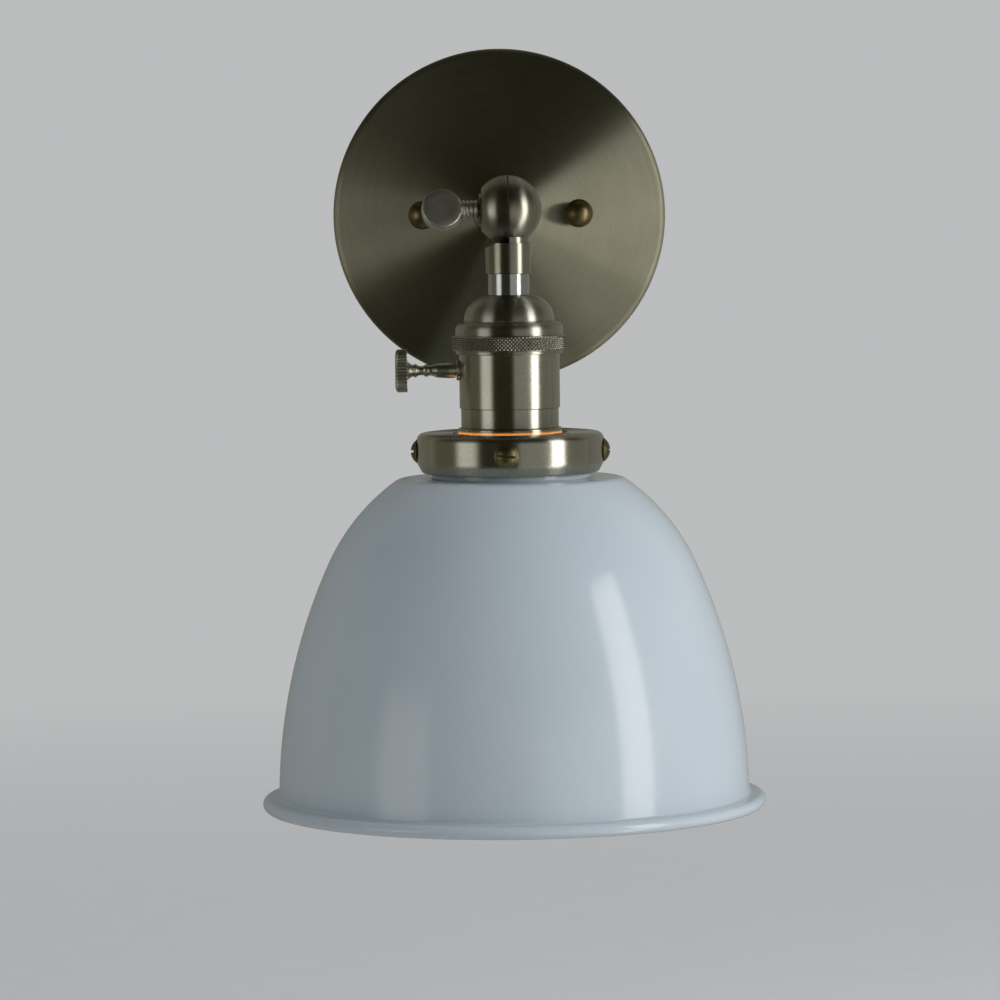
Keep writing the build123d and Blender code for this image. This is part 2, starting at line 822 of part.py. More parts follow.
def write(pieces, place):
    """One file for each node, with every solid moved to its place."""
    for name, piece in pieces.items():
        solids = piece if isinstance(piece, list) else [piece]
        placed = [solid for item in solids for solid in (place * item).solids()]
        export_step(Compound(children=placed), f"parts/{name}.step")


os.makedirs("parts", exist_ok=True)
write(wall_pieces(), Location(Plane.XZ))
write(head_pieces(), Pos(0, -reach, 0) * Rot(lean, 0, 0))
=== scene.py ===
import json
import math

import bmesh
import bpy
from mathutils import Matrix, Vector


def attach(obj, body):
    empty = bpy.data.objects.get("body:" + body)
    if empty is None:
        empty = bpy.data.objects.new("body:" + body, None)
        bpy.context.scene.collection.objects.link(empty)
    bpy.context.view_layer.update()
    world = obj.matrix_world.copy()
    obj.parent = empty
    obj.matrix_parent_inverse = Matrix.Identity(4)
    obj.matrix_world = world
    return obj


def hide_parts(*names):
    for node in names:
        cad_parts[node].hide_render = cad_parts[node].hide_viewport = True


# Wall reading lamp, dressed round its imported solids. Sizes here are in millimetres, as in the part's
# source, and every mesh is written in metres. A turned piece is drawn about its own Z and then put in
# its place.

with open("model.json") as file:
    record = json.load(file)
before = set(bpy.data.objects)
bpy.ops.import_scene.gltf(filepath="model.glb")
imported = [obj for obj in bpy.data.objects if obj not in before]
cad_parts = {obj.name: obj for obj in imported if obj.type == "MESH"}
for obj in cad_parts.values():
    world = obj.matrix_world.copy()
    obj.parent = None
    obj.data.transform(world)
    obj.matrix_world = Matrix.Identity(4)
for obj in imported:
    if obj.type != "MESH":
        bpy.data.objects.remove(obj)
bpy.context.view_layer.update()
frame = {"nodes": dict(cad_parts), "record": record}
nodes = frame["nodes"]

MM = 0.001
TURN = math.tau

# ---------------------------------------------------------------- sizes, as in the part's source

slip = 0.05
running = 0.06
play = 0.3

canopy_radius = 62.5
canopy_depth = 16.0
canopy_rim_height = 4.0
canopy_wall = 1.2
canopy_hub_radius = 10.5

stud_spacing = 58.5
cap_nut_radius = 5.3
cap_nut_neck_radius = 3.6
cap_nut_neck_height = 1.0

reach = 98.0
tube_radius = 7.4
tube_wall = 1.0
nipple_radius = 5.0

collar_end = 22.7
side_flat = 9.4
side_boss_height = 0.8

screw_reach = 8.4
screw_radius = 2.5
screw_beads = 4
screw_bead_radius = 3.5
screw_waist_radius = 3.0
screw_stem_length = 6.0
paddle_radius = 7.5
paddle_thickness = 5.75
paddle_turn = 18.0

lean = 2.0

sleeve_radius = 16.6
sleeve_wall = 1.0
skirt_radius = 17.5
shell_radius = 18.0
shell_wall = 0.8
liner_radius = 17.15
cap_dome_radius = 16.4
cap_shoulder_radius = 19.4
cap_band_radius = 20.5
cap_lip_radius = 19.2
cap_wall = 1.1
cap_hub_wall = 2.15
cap_hub_height = 5.8
cap_dome_round = 9.5
cap_dome_inner_round = 7.6
cap_shoulder_round = 2.6

# Distances below the knuckle's middle
cap_top = 30.6
cap_shoulder = 40.0
cap_band = 44.8
cap_lip = 50.1
cap_end = 51.4
shell_top = 45.4
switch_level = 57.2
core_step = 66.4
shell_end = 70.9
skirt_end = 77.9
holder_top = 79.7
sleeve_end = 86.9
holder_end = 94.0
shade_top = 95.9
globe_drop = 140.3

spindle_radius = 2.0
spindle_end = 2.0
bushing_radius = 3.2
bushing_flange = 1.0
bushing_flange_radius = 3.7
key_length = 17.3
key_disc_radius = 7.7
key_disc_bevel = 1.6
key_knurl_width = 2.7
key_teeth = 40
key_tooth_depth = 0.5

holder_radius = 33.5
holder_wall = 1.3
holder_mouth_radius = 29.7
holder_hub_radius = 18.5
holder_slot_radius = 20.6
holder_spokes = 3
holder_spoke_width = 5.0
holder_turn = -4.2
holder_screw_radius = 1.9
holder_screw_drop = 6.6
holder_screw_head_radius = 4.3
holder_screw_head_height = 2.3
holder_screw_slot = 0.9
screw_count = 4

shade_wall = 0.8
shade_neck_radius = 28.2
shade_neck_lip = 1.2
shade_neck_height = 12.6
shade_top_radius = 38.2
shade_shoulder_round = 6.0
shade_shoulder_angle = 35.7
shade_crown_round = 74.7
shade_crown_angle = 29.8
shade_skirt_round = 206.2
shade_skirt_angle = 23.9
shade_flange = 2.4
shade_bead_radius = 2.3

# ---------------------------------------------------------------- sizes of the forms that only the scene has

knurl_count = 94
knurl_depth = 0.5
knurl_margin = 0.15     # plain metal beside each edge of the cap's band
knurl_full = 0.6        # from an edge of the band to where the knurl has its full depth
knurl_flank = 0.8       # share of each ridge that slopes

teeth_start = 6.2       # radius at which the key's teeth begin on its faces
teeth_full = 6.9        # radius at which they have their full depth
tooth_power = 0.8       # below 1 rounds the teeth's crests

holder_foot_in = 1.9    # by how much the holder's foot is drawn in, outside
holder_foot_height = 3.6
holder_foot_inner_in = 1.4
holder_foot_inner_height = 4.0

screw_slot_depth = 1.1
screw_slot_length = 12.0    # of its cutter, past both sides of the head
screw_slot_turns = (7.0, -12.0, 4.0, -6.0)

shade_flat = 2.0        # width of the flat beside the shade's shoulder
shade_curl = 300        # degrees of the rolled rim

hair = 0.02             # keeps two faces from lying in one another

default_round = 0.2     # of a corner that doesn't give its own
straight_corner = 176   # degrees from which a corner isn't rounded
round_step = 11         # degrees between the points of a rounded corner
side_share = 0.97       # of a side that a round may use
beside_round = 0.15     # from a round to the close point beside it, at most


def spin(degrees, axis):
    """Turn by degrees about an axis."""
    return Matrix.Rotation(math.radians(degrees), 4, axis)


def shift(x=0.0, y=0.0, z=0.0):
    """Move by millimetres."""
    return Matrix.Translation((x * MM, y * MM, z * MM))


# Places of the turned pieces: about the arm, the head, the thumb screw and the key
WALL = spin(90, "X")
HEAD = shift(y=-reach) @ spin(lean, "X")
THUMB = HEAD @ spin(-paddle_turn, "X") @ spin(-90, "Y")
KEY = HEAD @ shift(z=-switch_level) @ spin(-90, "Y")


# ---------------------------------------------------------------- meshes


def rounded(corners, closed):
    """Points along a half section with rounded corners (r, z, round), and close points beside each round."""
    count = len(corners)
    points = []
    for i, corner in enumerate(corners):
        here = Vector(corner[:2])
        if not closed and i in (0, count - 1):
            points.append((here.x, here.y))
            continue
        before = Vector(corners[i - 1][:2]) - here
        after = Vector(corners[(i + 1) % count][:2]) - here
        back = before.normalized()
        ahead = after.normalized()
        radius = corner[2] if len(corner) > 2 else default_round
        inside = math.acos(max(-1.0, min(1.0, back.dot(ahead))))
        if radius <= 0 or inside > math.radians(straight_corner):
            points.append((here.x, here.y))
            continue
        cut = min(radius / math.tan(inside / 2), side_share * before.length, side_share * after.length)
        radius = cut * math.tan(inside / 2)
        centre = here + (back + ahead).normalized() * (radius / math.sin(inside / 2))
        start = here + back * cut
        end = here + ahead * cut
        points.append(tuple(start + back * min(beside_round, 0.1 * max(0.0, before.length - cut))))
        first = start - centre
        last = end - centre
        sweep = math.atan2(first.x * last.y - first.y * last.x, first.dot(last))
        steps = max(3, int(abs(math.degrees(sweep)) / round_step))
        for step in range(steps + 1):
            points.append(tuple(centre + Matrix.Rotation(sweep * step / steps, 2) @ first))
        points.append(tuple(end + ahead * min(beside_round, 0.1 * max(0.0, after.length - cut))))
    return points


def arc(start, tangent, radius, turn, steps):
    """Points of an arc from start, along a tangent and turning left by degrees, and its end tangent."""
    tangent = Vector(tangent).normalized()
    side = Vector((-tangent.y, tangent.x)) * (1 if turn > 0 else -1)
    centre = Vector(start) + side * radius
    spoke = Vector(start) - centre
    angle = math.radians(turn)
    points = [tuple(centre + Matrix.Rotation(angle * i / steps, 2) @ spoke) for i in range(1, steps + 1)]
    return points, Matrix.Rotation(angle, 2) @ tangent


def dense(points, step, keep):
    """Points with the runs for which keep(start, end) holds cut into steps."""
    result = []
    for one, two in zip(points, points[1:]):
        result.append(one)
        count = int(math.dist(one, two) / step) if keep(one, two) else 1
        for i in range(1, count):
            result.append((one[0] + (two[0] - one[0]) * i / count, one[1] + (two[1] - one[1]) * i / count))
    result.append(points[-1])
    return result


def lathe(name, path, closed=True, segments=192, relief=None):
    """Mesh turned about Z from points (r, z). A relief(r, z, angle) gives a point's new r and z."""
    mesh = bmesh.new()
    rings = []
    for r, z in path:
        if r < 1e-6:
            rings.append([mesh.verts.new((0, 0, z * MM))])
            continue
        loop = []
        for i in range(segments):
            a = TURN * i / segments
            rr, zz = relief(r, z, a) if relief else (r, z)
            loop.append(mesh.verts.new((rr * math.cos(a) * MM, rr * math.sin(a) * MM, zz * MM)))
        rings.append(loop)
    pairs = list(zip(rings, rings[1:]))
    if closed:
        pairs.append((rings[-1], rings[0]))
    for one, two in pairs:
        for i in range(segments):
            j = (i + 1) % segments
            if len(one) == 1 and len(two) == 1:
                continue
            if len(one) == 1:
                mesh.faces.new((one[0], two[j], two[i]))
            elif len(two) == 1:
                mesh.faces.new((one[i], one[j], two[0]))
            else:
                mesh.faces.new((one[i], one[j], two[j], two[i]))
    return finished(name, mesh)


def tube(name, outer, inner, low, high, edge=0.25):
    section = [(inner, low, edge), (outer, low, edge), (outer, high, edge), (inner, high, edge)]
    return lathe(name, rounded(section, True), segments=128)


def block(name, size, place, bevel):
    mesh = bmesh.new()
    bmesh.ops.create_cube(mesh, size=1.0, matrix=Matrix.Diagonal((*(v * MM for v in size), 1.0)))
    bmesh.ops.bevel(mesh, geom=mesh.edges[:], offset=bevel * MM, segments=2, profile=0.5, affect="EDGES")
    piece = finished(name, mesh, smooth=False)
    piece.matrix_world = place
    return piece


def in_scene(name, data):
    """New object with this data."""
    piece = bpy.data.objects.new(name, data)
    bpy.context.scene.collection.objects.link(piece)
    return piece


def finished(name, mesh, smooth=True):
    """Object from a bmesh, with its faces turned outwards."""
    bmesh.ops.recalc_face_normals(mesh, faces=mesh.faces)
    data = bpy.data.meshes.new(name)
    mesh.to_mesh(data)
    mesh.free()
    for polygon in data.polygons:
        polygon.use_smooth = smooth
    return in_scene(name, data)


def joined(name, pieces):
    """One object from several, keeping each one's place."""
    mesh = bmesh.new()
    for piece in pieces:
        data = piece.data
        data.transform(piece.matrix_world)
        mesh.from_mesh(data)
        bpy.data.objects.remove(piece)
        bpy.data.meshes.remove(data)
    data = bpy.data.meshes.new(name)
    mesh.to_mesh(data)
    mesh.free()
    return in_scene(name, data)


def put(piece, place, body, slot, *stands_for):
    """Places a piece, gives it its slot's look, and lets it ride on its body and stand for its nodes."""
    piece.matrix_world = place
    piece.data.materials.clear()
    piece.data.materials.append(looks[slot])
    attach(piece, body)
    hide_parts(*stands_for)


def smoothed(edge0, edge1, value):
    """Smooth step from 0 at one edge to 1 at the other."""
    t = min(1.0, max(0.0, (value - edge0) / (edge1 - edge0)))
    return t * t * (3 - 2 * t)


def wave(turns):
    """Triangle wave from 0 to 1 and back for each turn."""
    return 1 - abs(2 * (turns % 1.0) - 1)


# ---------------------------------------------------------------- materials


class Nodes:
    """A short way to write one material's nodes."""

    def __init__(self, name):
        self.material = bpy.data.materials.new(name)
        self.material.use_nodes = True
        self.tree = self.material.node_tree
        self.tree.nodes.clear()
        self.out = self.tree.nodes.new("ShaderNodeOutputMaterial")

    def feed(self, socket, value):
        """Links another node's socket to this one, or sets this one to a constant."""
        if isinstance(value, bpy.types.NodeSocket):
            self.tree.links.new(value, socket)
        else:
            socket.default_value = value

    def add(self, kind, settings=None, **inputs):
        """New node. An underscore stands for the space in an input's name."""
        node = self.tree.nodes.new("ShaderNode" + kind)
        for key, value in (settings or {}).items():
            setattr(node, key, value)
        for key, value in inputs.items():
            self.feed(node.inputs[key.replace("_", " ")], value)
        return node

    def place(self):
        """Coordinates in the piece's own frame, in metres."""
        return self.add("TexCoord").outputs["Object"]

    def math(self, operation, a, b=0.0):
        node = self.add("Math", {"operation": operation})
        self.feed(node.inputs[0], a)
        self.feed(node.inputs[1], b)
        return node.outputs[0]

    def hypotenuse(self, x, y):
        return self.math("SQRT", self.math("ADD", self.math("MULTIPLY", x, x), self.math("MULTIPLY", y, y)))

    def mix(self, factor, a, b, blend="MIX"):
        """Mix of two colours."""
        node = self.add("Mix", {"data_type": "RGBA", "blend_type": blend})
        for index, value in ((0, factor), (6, a), (7, b)):
            self.feed(node.inputs[index], value)
        return node.outputs[2]

    def ramp(self, value, low, high, at_low=0.0, at_high=1.0):
        """Number that goes from at_low to at_high while the value goes from low to high, and stays there."""
        node = self.add("MapRange")
        for socket, number in zip(node.inputs, (value, low, high, at_low, at_high)):
            self.feed(socket, number)
        return node.outputs[0]

    def noise(self, vector, scale, detail=2.0, roughness=0.5):
        node = self.add("TexNoise", Vector=vector, Scale=scale, Detail=detail, Roughness=roughness)
        return node.outputs["Fac"]

    def bump(self, height, strength, distance):
        return self.add("Bump", Height=height, Strength=strength, Distance=distance).outputs[0]

    def made_of(self, shader):
        """The material, with this shader as its surface."""
        self.tree.links.new(shader.outputs[0], self.out.inputs[0])
        return self.material


def rgb(r, g, b):
    return (r, g, b, 1.0)


def round_lines(n, stretch=1.6):
    """Coordinates that run slowly round Z and fast along the section, and a point's radius and height."""
    x, y, z = n.add("SeparateXYZ", Vector=n.place()).outputs
    radius = n.hypotenuse(x, y)
    safe = n.math("MAXIMUM", radius, 0.0005)
    lines = n.add(
        "CombineXYZ",
        X=n.math("ADD", n.math("MULTIPLY", radius, 1000.0), n.math("MULTIPLY", z, 1730.0)),
        Y=n.math("MULTIPLY", n.math("DIVIDE", x, safe), stretch),
        Z=n.math("MULTIPLY", n.math("DIVIDE", y, safe), stretch),
    )
    return lines.outputs[0], radius, z


def groove_shade_mask(n, radius, z):
    """Mask of painted shade: 1 on the knurl's ridges and off the cap's band, 0 in the knurl's grooves, where
    shade is painted.
    """
    ridge = n.ramp(radius, (cap_band_radius - 0.46) * MM, (cap_band_radius - 0.16) * MM)
    from_middle = n.math("ABSOLUTE", n.math("ADD", z, (cap_band + cap_lip) / 2 * MM))
    half = (cap_lip - cap_band) / 2
    return n.math("MAXIMUM", ridge, n.ramp(from_middle, (half - 0.55) * MM, (half - 0.25) * MM))


def painted_gap_glow(n, radius, z):
    """Painted glow: emission on the holder's metal that stands for the bulb's light where it leaks up
    between the holder's hub and its cup.
    """
    beside_hub = n.ramp(radius, (holder_hub_radius + 0.1) * MM, (holder_hub_radius + 0.9) * MM, 1.0, 0.0)
    at_slot = n.ramp(z, -holder_top * MM, (-holder_top + 0.9) * MM, 1.0, 0.0)
    return n.math("MULTIPLY", n.math("MULTIPLY", beside_hub, at_slot), 0.85)


def brushed(n, anisotropy, **inputs):
    """Metal whose lines run round Z. With the quarter turn they stretch a reflection across themselves."""
    along = n.add("Tangent", {"direction_type": "RADIAL", "axis": "Z"}).outputs[0]
    return n.add(
        "BsdfPrincipled",
        Metallic=1.0,
        Anisotropic=anisotropy,
        Anisotropic_Rotation=0.25,
        Tangent=along,
        **inputs,
    )


def turned_metal(
    name, color, dark, roughness, anisotropy, line_depth=1.0, blotch=0.3, knurl=False, glow=False
):
    """Spun or turned metal: fine lines round its axis, faint cloudy patina and uneven roughness.

    The tool's lines spread a reflection across themselves, so that lamps draw fans on a dish and crisp
    upright streaks on a tube. Blotch is the share of the dark patina. Knurl paints shade into the grooves
    of the cap's knurled band, and glow paints the bulb's light as emission on the holder's gap.
    """
    n = Nodes(name)
    coords, radius, z = round_lines(n)
    place = n.place()
    fine = n.noise(coords, 6.0, 3.0, 0.65)
    broad = n.noise(coords, 0.9)
    cloud = n.noise(place, 55.0, 3.0, 0.55)
    speck = n.noise(place, 900.0, 2.0, 0.6)
    patina = n.math("ADD", n.math("MULTIPLY", broad, 0.45), n.math("MULTIPLY", cloud, 0.55))
    tint = n.mix(n.ramp(patina, 0.35, 0.65, 0.0, blotch), rgb(*color), rgb(*dark))
    if knurl:
        # Painted shade: the knurl's grooves get a near-black base colour.
        tint = n.mix(groove_shade_mask(n, radius, z), rgb(0.13, 0.125, 0.095), tint)
    streak = n.ramp(fine, 0.3, 0.7, 1.0 - 0.07 * line_depth, 1.0 + 0.05 * line_depth)
    grey = n.add("CombineColor")
    for socket in grey.inputs[:3]:
        n.feed(socket, streak)
    rough = n.math(
        "ADD",
        n.ramp(fine, 0.25, 0.75, roughness - 0.02, roughness + 0.03),
        n.ramp(n.math("ADD", speck, cloud), 0.7, 1.3, -0.015, 0.02),
    )
    height = n.math("ADD", fine, n.math("MULTIPLY", broad, 0.8))
    surface = brushed(
        n,
        anisotropy,
        Base_Color=n.mix(1.0, tint, grey.outputs[0], "MULTIPLY"),
        Roughness=rough,
        Normal=n.bump(height, 0.16 * line_depth, 0.00003),
    )
    if glow:
        # Painted light: the holder's metal glows in its gap in place of the bulb's light.
        n.feed(surface.inputs["Emission Color"], rgb(1.0, 0.36, 0.07))
        n.feed(surface.inputs["Emission Strength"], painted_gap_glow(n, radius, z))
    return n.made_of(surface)


def plain_metal(name, color, dark, roughness=0.3, grain=600.0, anisotropy=0.0):
    """Cast, plated or pressed metal without turning lines. Anisotropy stretches a reflection along its Z."""
    n = Nodes(name)
    place = n.place()
    cloud = n.noise(place, 70.0, 3.0, 0.55)
    speck = n.noise(place, grain, 3.0, 0.6)
    return n.made_of(
        brushed(
            n,
            anisotropy,
            Base_Color=n.mix(n.ramp(cloud, 0.35, 0.65, 0.0, 0.8), rgb(*color), rgb(*dark)),
            Roughness=n.ramp(n.math("ADD", speck, cloud), 0.7, 1.3, roughness - 0.03, roughness + 0.05),
            Normal=n.bump(speck, 0.08, 0.00002),
        )
    )


def plain_surface(name, color, dark, roughness, grain=300.0, coat=0.0):
    """Moulded, fibre or painted surface."""
    n = Nodes(name)
    place = n.place()
    cloud = n.noise(place, 40.0)
    speck = n.noise(place, grain, 3.0, 0.6)
    return n.made_of(
        n.add(
            "BsdfPrincipled",
            Base_Color=n.mix(n.ramp(n.math("ADD", cloud, speck), 0.7, 1.3), rgb(*color), rgb(*dark)),
            Roughness=n.ramp(speck, 0.3, 0.7, roughness - 0.05, roughness + 0.05),
            Coat_Weight=coat,
            Coat_Roughness=0.1,
            Normal=n.bump(speck, 0.2, 0.00005),
        )
    )


def enamel(name):
    """Glossy pale enamel with a slight orange-peel surface."""
    n = Nodes(name)
    place = n.place()
    cloud = n.noise(place, 14.0)
    peel = n.noise(place, 260.0)
    return n.made_of(
        n.add(
            "BsdfPrincipled",
            Base_Color=n.mix(n.ramp(cloud, 0.35, 0.65), rgb(0.50, 0.565, 0.61), rgb(0.475, 0.54, 0.59)),
            Roughness=n.ramp(peel, 0.3, 0.7, 0.14, 0.18),
            IOR=1.5,
            Coat_Weight=0.12,
            Coat_Roughness=0.05,
            Normal=n.bump(peel, 0.06, 0.0001),
        )
    )


def clear_glass(name):
    """Thin, slightly wavy glass, warm from the light in it."""
    n = Nodes(name)
    ripple = n.noise(n.place(), 60.0)
    return n.made_of(
        n.add(
            "BsdfPrincipled",
            Base_Color=n.mix(ripple, rgb(1.0, 0.93, 0.82), rgb(1.0, 0.88, 0.72)),
            Roughness=n.ramp(ripple, 0.3, 0.7, 0.03, 0.07),
            IOR=1.5,
            Alpha=0.22,
            Normal=n.bump(ripple, 0.1, 0.0001),
        )
    )


def hot_wire(name):
    """Glowing coiled wire."""
    n = Nodes(name)
    coil = n.noise(n.place(), 1500.0, 1.0)
    return n.made_of(
        n.add(
            "BsdfPrincipled",
            Base_Color=n.mix(coil, rgb(0.9, 0.6, 0.3), rgb(0.8, 0.5, 0.2)),
            Metallic=1.0,
            Roughness=0.4,
            Emission_Color=n.mix(coil, rgb(1.0, 0.50, 0.16), rgb(1.0, 0.36, 0.08)),
            Emission_Strength=30.0,
        )
    )


# Each slot's way of making, its colour, its patina's colour and its other values
slot_looks = {
    "canopy_antique_brass": (
        turned_metal,
        (0.37, 0.355, 0.265),
        (0.30, 0.29, 0.20),
        dict(roughness=0.37, anisotropy=0.97, blotch=0.6),
    ),
    "knuckle_brass": (
        plain_metal,
        (0.40, 0.385, 0.31),
        (0.34, 0.325, 0.25),
        dict(anisotropy=0.8),
    ),
    "tube_brass": (
        turned_metal,
        (0.54, 0.545, 0.53),
        (0.48, 0.48, 0.46),
        dict(roughness=0.2, anisotropy=0.8, line_depth=0.5),
    ),
    "cap_brass": (
        turned_metal,
        (0.48, 0.47, 0.40),
        (0.42, 0.41, 0.33),
        dict(roughness=0.34, anisotropy=0.96, line_depth=0.7, knurl=True),
    ),
    "shell_brass": (
        turned_metal,
        (0.49, 0.475, 0.39),
        (0.43, 0.415, 0.33),
        dict(roughness=0.28, anisotropy=0.9, line_depth=0.7),
    ),
    "holder_brass": (
        turned_metal,
        (0.49, 0.475, 0.39),
        (0.42, 0.405, 0.32),
        dict(roughness=0.27, anisotropy=0.95, line_depth=0.6, glow=True),
    ),
    "thumb_screw_brass": (plain_metal, (0.64, 0.64, 0.58), (0.58, 0.58, 0.52), dict(roughness=0.42)),
    "key_brass": (
        turned_metal,
        (0.62, 0.61, 0.52),
        (0.52, 0.51, 0.42),
        dict(roughness=0.3, anisotropy=0.4, line_depth=0.5),
    ),
    "aged_bronze": (plain_metal, (0.235, 0.19, 0.09), (0.17, 0.135, 0.062), dict(roughness=0.4)),
    "plain_brass": (
        turned_metal,
        (0.72, 0.58, 0.30),
        (0.60, 0.46, 0.22),
        dict(roughness=0.28, anisotropy=0.3),
    ),
    "zinc_steel": (plain_metal, (0.66, 0.67, 0.66), (0.52, 0.54, 0.55), dict(roughness=0.34, grain=900.0)),
    "green_screw": (plain_metal, (0.10, 0.38, 0.16), (0.06, 0.28, 0.10), dict(roughness=0.35)),
    "dark_fibre": (plain_surface, (0.07, 0.055, 0.045), (0.04, 0.032, 0.028), dict(roughness=0.75)),
    "brown_phenolic": (
        plain_surface,
        (0.11, 0.062, 0.04),
        (0.07, 0.04, 0.028),
        dict(roughness=0.32, grain=500.0, coat=0.2),
    ),
    "bulb_metal": (plain_metal, (0.78, 0.78, 0.76), (0.66, 0.66, 0.65), dict(roughness=0.22)),
}

looks = {slot: make(slot, color, dark, **more) for slot, (make, color, dark, more) in slot_looks.items()}
looks["shade_enamel"] = enamel("shade_enamel")
looks["bulb_glass"] = clear_glass("bulb_glass")
looks["filament_wire"] = hot_wire("filament_wire")

slot_of = {part["node"]: part["material_slot"] for part in frame["record"]["subparts"]}
for name, node in nodes.items():
    node.data.materials.clear()
    node.data.materials.append(looks[slot_of[name]])
    for polygon in node.data.polygons:
        polygon.material_index = 0


# ---------------------------------------------------------------- canopy and arm


def canopy():
    """Pressed dish, with a straight rim, a cone and a flat round the arm."""
    bore = nipple_radius + slip
    section = [
        (canopy_radius, 0, 0.3),
        (canopy_radius, canopy_rim_height, 2.8),
        (canopy_hub_radius, canopy_depth, 0.6),
        (bore, canopy_depth),
        (bore, canopy_depth - canopy_wall),
        (canopy_hub_radius, canopy_depth - canopy_wall, 0.6),
        (canopy_radius - canopy_wall, canopy_rim_height - canopy_wall, 1.6),
        (canopy_radius - canopy_wall, 0, 0.3),
    ]
    return lathe("canopy_dish", rounded(section, True), segments=384)


def cap_nut(side):
    """Ball nut on a short neck, seated on the canopy's cone."""
    slope = (canopy_depth - canopy_rim_height) / (canopy_radius - canopy_hub_radius)
    seat = canopy_depth - (stud_spacing / 2 - cap_nut_neck_radius - canopy_hub_radius) * slope
    rise = math.sqrt(cap_nut_radius**2 - cap_nut_neck_radius**2)
    centre = seat + cap_nut_neck_height + rise
    low = -math.asin(rise / cap_nut_radius)
    steps = 28
    path = [(0.0, centre + cap_nut_radius)]
    for i in range(1, steps + 1):
        a = math.pi / 2 + (low - math.pi / 2) * i / steps
        path.append((cap_nut_radius * math.cos(a), centre + cap_nut_radius * math.sin(a)))
    foot = rounded([path[-1], (cap_nut_neck_radius, seat, 0.15), (0.0, seat)], False)
    nut = lathe("cap_nut", path + foot[1:], closed=False, segments=96)
    nut.matrix_world = shift(x=side * stud_spacing / 2)
    return nut


put(canopy(), WALL, "wall_bracket", "canopy_antique_brass", "canopy")

cap_nuts = joined("cap_nuts_turned", [cap_nut(-1), cap_nut(1)])
put(cap_nuts, WALL, "wall_bracket", "aged_bronze", "cap_nuts")

arm = tube("arm_tube_turned", tube_radius, tube_radius - tube_wall, canopy_depth, reach - collar_end)
put(arm, WALL, "wall_bracket", "tube_brass", "arm_tube")


# ---------------------------------------------------------------- thumb screw


def thumb_stem(seat, paddle_middle):
    """The screw and its beads, which run into the paddle."""
    bevel = 0.4
    path = [
        (0.0, -screw_reach),
        (screw_radius - bevel, -screw_reach),
        (screw_radius, -screw_reach + bevel),
        (screw_radius, seat),
    ]
    pitch = screw_stem_length / screw_beads
    steps = 16
    for number in range(screw_beads):
        for i in range(steps + 1):
            bulge = math.sin(math.pi * i / steps) ** 0.8
            radius = screw_waist_radius + (screw_bead_radius - screw_waist_radius) * bulge
            path.append((radius, seat + pitch * (number + i / steps)))
    hidden = paddle_thickness / 2 - 0.5
    path += [(hidden, paddle_middle - paddle_radius * 0.75), (0.0, paddle_middle - paddle_radius * 0.7)]
    return lathe("thumb_stem", path, closed=False, segments=96)


def thumb_paddle(middle):
    """Round paddle with a ball's edge and flat faces that fall off a little beside it."""
    half = paddle_thickness / 2
    flat = math.sqrt(paddle_radius**2 - half**2)
    face = [(0.0, half), (flat * 0.6, half), (flat - 0.75, half - 0.03), (flat - 0.35, half - 0.12)]
    low = 0.93 * math.asin(half / paddle_radius)
    steps = 20
    edge = []
    for i in range(steps + 1):
        a = low - 2 * low * i / steps
        edge.append((paddle_radius * math.cos(a), paddle_radius * math.sin(a)))
    back = [(r, -z) for r, z in reversed(face)]
    paddle = lathe("thumb_paddle", face + edge + back, closed=False, segments=128)
    paddle.matrix_world = shift(z=middle) @ spin(90, "X")
    return paddle


def thumb_screw():
    seat = side_flat + side_boss_height + play
    middle = seat + screw_stem_length + math.sqrt(paddle_radius**2 - screw_waist_radius**2)
    return joined("thumb_screw_turned", [thumb_stem(seat, middle), thumb_paddle(middle)])


put(thumb_screw(), THUMB, "clamp_screw", "thumb_screw_brass", "thumb_screw")


# ---------------------------------------------------------------- switch key


def switch_key():
    """Turned stem with a toothed disc. The stem's corners are read off the photograph."""
    start = shell_radius + bushing_flange + play
    disc = start + key_length
    end = disc + key_knurl_width + key_disc_bevel
    inner = key_disc_radius - key_tooth_depth
    section = [
        (0.0, spindle_end),
        (spindle_radius, spindle_end, 0.3),
        (spindle_radius, start, 0.1),
        (2.75, start, 0.35),
        (2.85, start + 2.4, 0.6),
        (2.6, start + 6.6, 0.8),
        (1.95, start + 8.4, 0.5),
        (1.75, start + 9.4, 0.3),
        (2.2, start + 10.1, 0.4),
        (2.2, start + 10.9, 0.4),
        (1.65, start + 11.6, 0.4),
        (1.7, start + 13.2, 0.8),
        (2.5, start + 14.4, 0.6),
        (2.0, start + 15.4, 0.4),
        (2.9, disc - 0.6, 0.4),
        (3.6, disc, 0.2),
        (key_disc_radius, disc, 0.3),
        (key_disc_radius, disc + key_knurl_width + 0.7, 0.25),
        (inner - 0.2, end - 0.25, 0.3),
        (inner - 1.2, end, 0.8),
        (0.0, end),
    ]

    def on_rim(one, two):
        return min(one[0], two[0]) > key_disc_radius - 0.5

    def teeth(r, z, a):
        if r < teeth_start or z < disc - 0.1:
            return r, z
        deep = smoothed(teeth_start, teeth_full, r) * key_tooth_depth
        return r - deep * (1 - wave(a * key_teeth / TURN)) ** tooth_power, z

    path = dense(rounded(section, False), 0.3, on_rim)
    return lathe("switch_key_turned", path, closed=False, segments=key_teeth * 12, relief=teeth)


def switch_bushing():
    """Threaded bushing with a flange that sits on the round shell."""
    bore = spindle_radius + running
    tail = shell_radius - 2.5
    section = [
        (bore, tail),
        (bushing_radius, tail),
        (bushing_radius, shell_radius + hair, 0.05),
        (bushing_flange_radius, shell_radius - 0.45, 0.1),
        (bushing_flange_radius, shell_radius + bushing_flange, 0.35),
        (bore, shell_radius + bushing_flange, 0.1),
    ]
    return lathe("switch_bushing_turned", rounded(section, True), segments=96)


put(switch_key(), KEY, "key", "key_brass", "switch_key")
put(switch_bushing(), KEY, "lamp_head", "key_brass", "switch_bushing")


# ---------------------------------------------------------------- socket


